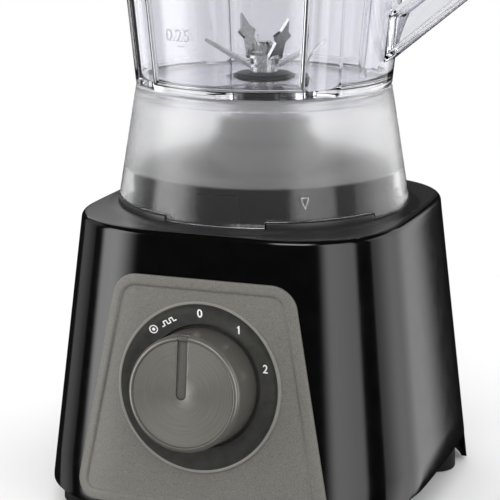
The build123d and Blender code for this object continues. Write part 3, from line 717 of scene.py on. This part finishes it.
def spun_metal(name, colours, roughness, anisotropy, groove):
    """Lacquered metal with concentric tool marks, which follow the round map and stretch the
    highlights across themselves. The grooves are coarser than the real ones so that they show."""
    material, tree, shader = start_material(name, colours[0], roughness, 0.6,
                                            {"Anisotropic": anisotropy})
    chart = add_node(tree, "UVMap", uv_map="round")
    across = add_node(tree, "Mapping", {"Vector": chart.outputs[0], "Scale": (5, 30 / groove, 1)})
    marks = add_node(tree, "TexNoise", {"Vector": across.outputs[0], "Scale": 1.0, "Detail": 2.0})
    tint = add_node(tree, "ValToRGB", {0: marks.outputs[0]})
    tint.color_ramp.elements[0].position = 0.3
    tint.color_ramp.elements[0].color = linear(colours[0])
    tint.color_ramp.elements[1].position = 0.7
    tint.color_ramp.elements[1].color = linear(colours[1])
    tree.links.new(tint.outputs[0], shader.inputs["Base Color"])
    bump = add_node(tree, "Bump", {"Height": marks.outputs[0], "Distance": 0.004 * mm})
    tree.links.new(bump.outputs[0], shader.inputs["Normal"])
    tangent = add_node(tree, "Tangent", direction_type="UV_MAP", uv_map="round")
    tree.links.new(tangent.outputs[0], shader.inputs["Tangent"])
    return material


spun_grey = spun_metal("spun aluminium", ("#787670", "#83817a"), 0.34, 0.75, 0.5)
brushed_grey = spun_metal("brushed aluminium", ("#6f6d67", "#7b7972"), 0.3, 0.6, 0.6)
for piece, metal, node in ((knob, brushed_grey, "knob_body"), (face, spun_grey, "knob_face")):
    polar_map(piece)
    place_on_dial(piece)
    piece.data.materials.append(metal)
    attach(piece, "knob")
    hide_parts(node)

strip_outline = rounded([(-3.4, -2.7), (1.4, -2.7), (1.4, 24.1), (-3.4, 24.1)],
                        (2.3, 2.3, 0.2, 0.2))
strip = loft("pointer_strip", [[(u * mm, v * mm, z * mm) for u, v in strip_outline]
                               for z in (18.95, 19.75)], capped=True)
close_up(strip)
tab_outline = rounded([(-3.4, 24.2), (1.4, 24.2), (1.4, 26.1), (-3.4, 26.1)],
                      (0.2, 0.2, 0.9, 0.9), 4)
tab = loft("pointer_tab", [[(u * mm, v * mm, z * mm) for u, v in tab_outline]
                           for z in (18.95, 21.0)], capped=True)
close_up(tab)
strip_grey = moulded("satin grey ABS", ("#4c4b47", "#565550"), (0.35, 0.5), 0.5, 0.02,
                     {"Metallic": 0.2})
for piece in (strip, tab):
    soften(piece, 0.18, segments=2)
    smooth(piece)
    place_on_dial(piece)
    piece.data.materials.append(strip_grey)
    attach(piece, "knob")
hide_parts("knob_pointer")

# Jug collar: a frosted clear plastic skirt under the jug that drops over the boss. Its lower
# edge steps up over the seat lands, and its wall is clear enough to show the boss behind it.
skirt_low_z, seam_z = 145.0, 201.9
skirt_low_radius, jug_low_radius, jug_wall = 71.0, 61.7, 3.0
skirt_taper = (skirt_low_radius - jug_low_radius) / (seam_z - skirt_low_z)
notch_clear, notch_z = 0.7, 147.6


def in_notch(turn):
    """Whether a turn from the front lies over one of the seat lands."""
    return any((turn - start + notch_clear) % 360 <= land_sweep + 2 * notch_clear
               for start in land_starts)


collar_turns = [k * 1.25 for k in range(288)]
for start in land_starts:
    for edge in (start - notch_clear, start + land_sweep + notch_clear):
        collar_turns += [(edge - 0.02) % 360, (edge + 0.02) % 360]
collar_turns = sorted(set(collar_turns))


def skirt_radius(z):
    """The collar's outside radius at a height."""
    return skirt_low_radius - skirt_taper * (z - skirt_low_z)


def collar_ring(height, inset, follow=False):
    """One ring of the collar; the lowest ones follow the stepped edge."""
    ring = []
    for turn in collar_turns:
        z = max(height, notch_z + height - skirt_low_z) if follow and in_notch(turn) else height
        radius = skirt_radius(z) - inset
        angle = radians(turn - 90)
        ring.append((radius * cos(angle) * mm, radius * sin(angle) * mm, z * mm))
    return ring


collar_rings = [collar_ring(145.5, 3.0, True), collar_ring(145.1, 2.8, True),
                collar_ring(145.0, 2.5, True), collar_ring(145.0, 0.5, True),
                collar_ring(145.1, 0.15, True), collar_ring(145.5, 0.0, True)]
collar_rings += [collar_ring(z, 0.0) for z in (149, 156, 164, 172, 180, 188, 196, 200.9)]
collar_rings += [collar_ring(201.6, 0.3), collar_ring(201.9, 0.8), collar_ring(201.9, 4.0),
                 collar_ring(199.4, 4.4), collar_ring(197.9, 3.0)]
collar_rings += [collar_ring(z, 3.0) for z in (188, 172, 156, 149)]
collar = loft("collar_skirt", collar_rings, closed=True)
close_up(collar)
smooth(collar, 40)

# Frosted SAN: clear plastic moulded against a lightly blasted tool. Light passes through but
# blurs, and some of it scatters in the wall. The band that covers the boss is left clearer.
frosted, tree, shader = start_material(
    "frosted SAN", "#f4f4f5", 0.24, sockets={"IOR": 1.4})
noise = grain(tree, shader, 0.35, 0.0005, detail=2)
place = add_node(tree, "TexCoord").outputs["Object"]
level = add_node(tree, "SeparateXYZ", {0: place})
above = add_node(tree, "MapRange", {"Value": level.outputs["Z"], 1: (boss_top - 0.4) * mm,
                                    2: (boss_top + 0.4) * mm, 3: 0.08, 4: 0.25})
speckle = add_node(tree, "MapRange", {"Value": noise.outputs[0], 1: 0.3, 2: 0.7, 3: 0.0, 4: 0.015})
blurred = add_node(tree, "Math", {0: above.outputs[0], 1: speckle.outputs[0]})
tree.links.new(blurred.outputs[0], shader.inputs["Roughness"])
passing = add_node(tree, "MapRange", {"Value": level.outputs["Z"], 1: (boss_top - 0.4) * mm,
                                      2: (boss_top + 0.4) * mm, 3: 1.0, 4: 0.93})
tree.links.new(passing.outputs[0], shader.inputs["Transmission Weight"])
collar.data.materials.append(frosted)
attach(collar, "jug_unit")
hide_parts("jug_collar")

# Raised marks: the arrow on the collar and the jug's figures scatter light at their edges.
mark_clear, tree, shader = start_material(
    "raised marks in clear SAN", "#d4d4d8", 0.25, sockets={"Transmission Weight": 0.7, "IOR": 1.52})
grain(tree, shader, 0.5, 0.01, (0.2, 0.3))
arrow_outline = [(-1.9, 5.2), (1.9, 5.2), (0, 0)]
for k in range(3):
    (x_a, z_a), (x_b, z_b) = arrow_outline[k], arrow_outline[(k + 1) % 3]
    along = Vector((x_b - x_a, z_b - z_a)).normalized() * 0.2
    side = Vector((-along.y, along.x))
    line = []
    for x, z in ((x_a, z_a), (x_b, z_b)):
        corners = []
        for way, out in ((1, 0.05), (-1, 0.05), (-1, -0.3), (1, -0.3)):
            height = 153.2 + z + way * side.y
            turn = radians(35.2 - 90) + (x + way * side.x) / skirt_radius(height)
            radius = skirt_radius(height) + out
            corners.append((radius * cos(turn) * mm, radius * sin(turn) * mm, height * mm))
        line.append(corners)
    stroke = loft(f"collar_arrow_{k + 1}", line, capped=True)
    close_up(stroke)
    stroke.data.materials.append(mark_clear)
    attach(stroke, "jug_unit")

# Jug: one moulding in clear SAN with a flared round wall, four hollow flutes that break up the
# swirl, a thick floor with a neck for the blades, a pouring lip and an I-section handle.
jug_flare, floor_top, rim_z = 0.1, 205.0, 357.0
flute_radius, flute_reach, flute_end = 13.0, 8.3, 330.0
half_steps = (6, 7, 16)


def jug_radius(z):
    """The jug's outside radius between its flutes at a height."""
    return jug_low_radius + jug_flare * (z - seam_z)


def flute_depth(z, radius, turn):
    """The distance from the axis to a flute's face, at a turn from the flute's middle."""
    reach = jug_radius(z) + flute_reach
    if z > flute_end:
        radius = sqrt(max(radius ** 2 - (z - flute_end) ** 2, 0.0001))
    inside = radius ** 2 - (reach * sin(turn)) ** 2
    return reach * cos(turn) - sqrt(inside) if inside > 0 else reach * 2


def jug_ring(z, offset, radius, height=None):
    """A ring of the jug's wall: round, but pressed in by the flutes, with a small radius where
    they meet. The points crowd where the wall turns."""
    wide = jug_radius(z) - offset
    reach = jug_radius(z) + flute_reach
    hollow = sqrt(max(radius ** 2 - max(z - flute_end, 0) ** 2, 0.0001))
    edge = (wide ** 2 + reach ** 2 - hollow ** 2) / (2 * wide * reach)
    meet = atan2(sqrt(1 - edge ** 2), edge) if edge < 1 else 0.02
    blend = radians(1.3)
    stops = [0, max(meet - blend, 0.004), max(meet + blend, 0.05), pi / 4]
    half = []
    for first, last, steps in zip(stops, stops[1:], half_steps):
        half += [first + (last - first) * k / steps for k in range(steps)]
    turns = half + [pi / 4] + [pi / 2 - t for t in reversed(half[1:])]
    ring = []
    for quarter in range(4):
        for turn in turns:
            own = turn if turn <= pi / 4 else pi / 2 - turn
            face = flute_depth(z, radius, own)
            gap = 0.7
            mix = max(min(0.5 + 0.5 * (face - wide) / gap, 1), 0)
            distance = face * (1 - mix) + wide * mix - gap * mix * (1 - mix)
            angle = pi / 4 + quarter * pi / 2 + turn
            away = abs(angle % (2 * pi) - pi)
            lip = max(0, 1 - (away / radians(15)) ** 2) ** 2 * max(0, (z - 322) / 35) ** 1.5
            distance += 9.5 * lip
            ring.append((distance * cos(angle) * mm, distance * sin(angle) * mm,
                         (z if height is None else height) * mm))
    return ring


def plain_ring(radius, height):
    """A round ring of as many points as the jug's wall has."""
    return [(x / hypot(x, y) * radius * mm, y / hypot(x, y) * radius * mm, height * mm)
            for x, y, z in jug_ring(240, 0, 1.0)]


wall_levels = [212, 220, 235, 250, 265, 280, 295, 310, 322, 326, 330, 333, 336, 338.5, 340.5,
               342, 343, 346, 350]
inside_levels = [z for z in wall_levels if z > 214]
neck_radius = 15.6
jug_rings = [plain_ring(r, z) for r, z in (
    (neck_radius, 188), (neck_radius, 196), (neck_radius, 204.7), (neck_radius + 0.3, floor_top),
    (30, floor_top), (44, floor_top))]
floor_bend = 5.0
for k in range(7):
    lean = radians(90 * k / 6)
    jug_rings.append(jug_ring(floor_top + floor_bend, jug_wall + floor_bend * (1 - sin(lean)),
                              flute_radius + jug_wall, floor_top + floor_bend * (1 - cos(lean))))
jug_rings += [jug_ring(z, jug_wall, flute_radius + jug_wall) for z in inside_levels]
jug_rings += [jug_ring(354, jug_wall, flute_radius + jug_wall, rim_z - 0.8),
              jug_ring(355, jug_wall - 0.7, flute_radius + jug_wall, rim_z),
              jug_ring(355, -1.4, flute_radius, rim_z), jug_ring(355, -2.2, flute_radius, 356.2),
              jug_ring(355, -2.2, flute_radius, 354), jug_ring(352, -1.2, flute_radius, 352)]
jug_rings += [jug_ring(z, 0, flute_radius) for z in reversed(wall_levels)]
jug_rings += [jug_ring(205, 0, flute_radius), jug_ring(203.2, 0, flute_radius),
              jug_ring(203, 0.4, flute_radius, 202.3), jug_ring(203, 1.2, flute_radius, 202)]
jug_rings += [plain_ring(r, z) for r, z in (
    (57.3, 202), (57.3, 196.4), (56.9, 196), (55.2, 196), (54.8, 196.4), (54.8, 202),
    (36, 202), (18.4, 202), (18.4, 188.4), (18.0, 188), (16.0, 188))]
jug = loft("jug_vessel", jug_rings, closed=True)
close_up(jug)

handle_reach, flange_half, flange, web_half = 128.0, 9.5, 3.0, 1.5
grip = [(60.9, 213.6), (handle_reach, 269), (handle_reach, 352), (74.5, 355), (74.5, 338),
        (110, 336), (110, 275), (62.5, 237)]
grip_radii = (0, 28, 28, 0, 0, 14, 14, 0)


def inset_outline(corners, depth):
    """A polygon drawn in by a depth, corner by corner."""
    inner = []
    for k, corner in enumerate(corners):
        here, before = Vector(corner), Vector(corners[k - 1])
        after = Vector(corners[(k + 1) % len(corners)])
        into, out = (here - before).normalized(), (after - here).normalized()
        side_a, side_b = Vector((-into.y, into.x)), Vector((-out.y, out.x))
        inner.append(here + (side_a + side_b) * depth / (1 + side_a.dot(side_b)))
    return inner


grip_outer = rounded(grip, grip_radii, 14)
grip_inner = rounded(inset_outline(grip, flange), (0, 25, 25, 0, 0, 17, 17, 0), 14)
handle = loft("handle", [[(x * mm, y * mm, z * mm) for x, z in outline] for outline, y in (
    (grip_inner, -web_half), (grip_inner, -flange_half), (grip_outer, -flange_half),
    (grip_outer, flange_half), (grip_inner, flange_half), (grip_inner, web_half))], capped=True)
close_up(handle)
soften(handle, 0.9, segments=3, angle=40)
combine(jug, handle, "UNION")
close_up(jug, 0.002)
smooth(jug, 36)

# Clear SAN: polished all over, a little denser than acrylic, with a faint cool tint.
clear, tree, shader = start_material(
    "clear SAN", "#e4e4e9", 0.02, sockets={"Transmission Weight": 1.0, "IOR": 1.52})
grain(tree, shader, 25, 0.03, (0.0, 0.03))
jug.data.materials.append(clear)
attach(jug, "jug_unit")
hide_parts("jug")

# Volume marks: raised figures and short lines on the jug's outside.
for k, (figure, turn, low, size, line_turn, line_z) in enumerate((
        ("0.25", -18.2, 227.6, 8.2, -16.6, 225.5), ("1", 17.0, 227.8, 7.6, 16.7, 224.6),
        ("0.5", -18.2, 257.6, 8.2, -16.6, 255.5), ("2", 17.0, 264.8, 7.6, 16.7, 261.6),
        ("1.0", -18.2, 307.6, 8.2, -16.6, 305.5), ("3", 17.0, 302.8, 7.6, 16.7, 299.6))):
    mark = figure_mesh(f"volume_mark_{k + 1}", figure, size, 0.12)
    for point in mark.data.vertices:
        height = low + point.co.y / mm
        angle = radians(turn - 90) + point.co.x / mm / jug_radius(height)
        out = jug_radius(height) + 0.1 + point.co.z / mm
        point.co = (out * cos(angle) * mm, out * sin(angle) * mm, height * mm)
    dash = [[((jug_radius(line_z) + out) * cos(radians(line_turn + side - 90)) * mm,
              (jug_radius(line_z) + out) * sin(radians(line_turn + side - 90)) * mm,
              (line_z + rise) * mm)
             for out, rise in ((-0.1, -0.25), (0.25, -0.25), (0.25, 0.25), (-0.1, 0.25))]
            for side in (-2, -1, 0, 1, 2)]
    line = loft(f"volume_line_{k + 1}", dash, capped=True)
    close_up(line)
    for piece in (mark, line):
        piece.data.materials.append(mark_clear)
        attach(piece, "jug_unit")

# Lid and measuring cap: a satin black lid with a rolled skirt and two grips, and a clear cap.
rim_radius = jug_radius(rim_z)
lid = turned("lid_cover", [
    (29, 345), (31, 345), (31, 357.4), (69.5, 357.6), (69.5, 342), (71.6, 342), (72, 349),
    (72, 357.7), (rim_radius + 2.2, 357.7), (rim_radius + 2.6, 358.2), (rim_radius + 2.6, 360),
    (rim_radius + 1.4, 363), (72, 366), (60, 369), (46, 370.3), (35, 371), (33.4, 372.2),
    (32, 375.4), (31, 376), (29.6, 376), (28.8, 375), (28, 372), (28, 362), (29, 360)])
for side in (-1, 1):
    grip_outline = rounded([(side * 70, -15), (side * 70, 15), (side * 91.4, 13),
                            (side * 91.4, -13)], (2, 2, 6, 6))
    tab_rings = [[(x * mm, y * mm, z * mm) for x, y in grip_outline] for z in (358.3, 362.2)]
    ear = loft("ear", tab_rings, capped=True)
    close_up(ear)
    soften(ear, 1.2, segments=3)
    combine(lid, ear, "UNION")
close_up(lid, 0.002)
smooth(lid, 30)
lid_black = moulded("satin black PP", ("#101010", "#171717"), (0.32, 0.42), 0.6, 0.03,
                    {"IOR": 1.5})
lid.data.materials.append(lid_black)
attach(lid, "lid_unit")
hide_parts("lid")

cap = turned("cap_cup", [
    (0, 392.4), (0, 395), (22.6, 395), (23.8, 394.5), (24.6, 393.4), (25.2, 391.5), (25.8, 380.6),
    (26.4, 379.9), (31.2, 379.4), (31.8, 378.8), (31.8, 376.9), (31.3, 376.4), (27.5, 376.4),
    (27.2, 374), (26.5, 350.4), (26.1, 350), (24.3, 350), (24, 350.4), (23.2, 391.2),
    (22.2, 392.4)])
smooth(cap, 40)
cap.data.materials.append(clear)
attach(cap, "cap_unit")
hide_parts("measuring_cap")

# Feet: four turned rubber discs with a rounded edge and a shallow ring in the sole.
foot_rubber = moulded("black rubber", ("#0d0d0d", "#141414"), (0.6, 0.75), 0.7, 0.04)
for k, (x, y) in enumerate(((-72, -57), (72, -57), (-77, 46), (77, 46))):
    foot = turned(f"foot_{k + 1}", [(0, 0.5), (6.5, 0.5), (7, 0), (10, 0), (10.7, 0.4), (11, 1.2),
                                    (10.6, 18), (0, 18)], 64)
    foot.location = (x * mm, y * mm, 0)
    choose(foot)
    bpy.ops.object.transform_apply(location=True, rotation=False, scale=False)
    smooth(foot)
    foot.data.materials.append(foot_rubber)
    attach(foot, "base")
    if k == 0:
        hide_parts("rubber_feet")

# The parts that keep their CAD shape get the finish of the real ones: cast, drawn, turned or
# stamped metals, wound copper, carbon, and the plastics and rubber of the small mouldings.
def metal(name, colours, roughness, size, depth, stretch=(1, 1, 1)):
    """A bare metal whose tool marks run along the stretched direction."""
    material, tree, shader = start_material(name, colours[0], roughness[0], 1.0)
    grain(tree, shader, size, depth, roughness, colours, stretch)
    return material


finishes = {
    "steel": metal("drawn stainless steel", ("#9d9d9b", "#b4b4b1"), (0.2, 0.32), 0.8, 0.004,
                   (1, 1, 0.1)),
    "blade": metal("ground stainless steel", ("#a9a9a8", "#c4c4c2"), (0.16, 0.28), 0.6, 0.006,
                   (1, 0.15, 1)),
    "cast": metal("die-cast aluminium", ("#8d8f90", "#9fa1a2"), (0.45, 0.6), 0.7, 0.05),
    "core": metal("stacked silicon steel", ("#55565a", "#6e7074"), (0.4, 0.55), 0.5, 0.03,
                  (0.05, 0.05, 1)),
    "copper": metal("enamelled copper wire", ("#8c4a22", "#b0622f"), (0.25, 0.4), 0.5, 0.08,
                    (0.3, 0.3, 1)),
    "bronze": metal("sintered bronze", ("#8a6a3c", "#a8834c"), (0.4, 0.55), 0.4, 0.03),
    "carbon": moulded("pressed carbon", ("#1c1c1d", "#2a2a2b"), (0.6, 0.75), 0.4, 0.03),
    "board": moulded("green solder mask", ("#12401f", "#185029"), (0.3, 0.4), 0.8, 0.01),
    "parts": moulded("black epoxy", ("#161616", "#202020"), (0.45, 0.6), 0.5, 0.02),
    "inner": moulded("black glass-filled nylon", ("#121212", "#1c1c1c"), (0.42, 0.58), 0.6, 0.04),
    "rubber": foot_rubber,
    "clear": clear,
}
dressed = {
    "steel": ("motor_shaft", "blade_shaft", "cover_screws", "motor_screws", "switch_spindle",
              "brush_springs", "blade_nut"),
    "blade": ("lower_blade", "upper_blade", "blade_spacer"),
    "cast": ("motor_low_bracket", "motor_top_bracket"),
    "core": ("stator_core", "armature_core"),
    "copper": ("field_coils", "armature_windings", "commutator"),
    "bronze": ("upper_bearing", "lower_bearing", "blade_bearing"),
    "carbon": ("carbon_brushes",),
    "board": ("circuit_board",),
    "parts": ("board_parts", "interlock_switch", "rotary_switch", "interlock_pin"),
    "inner": ("bottom_cover", "cooling_fan", "brush_holders", "fan_shroud", "drive_coupling",
              "driven_coupling", "blade_holder", "cord_inlet"),
    "rubber": ("motor_mounts", "shaft_seal", "blade_seal", "lid_gasket"),
}
for finish, names in dressed.items():
    for name in names:
        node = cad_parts[name]
        if not node.material_slots:
            node.data.materials.append(finishes[finish])
        for slot in node.material_slots:
            slot.material = finishes[finish]

bpy.context.view_layer.update()
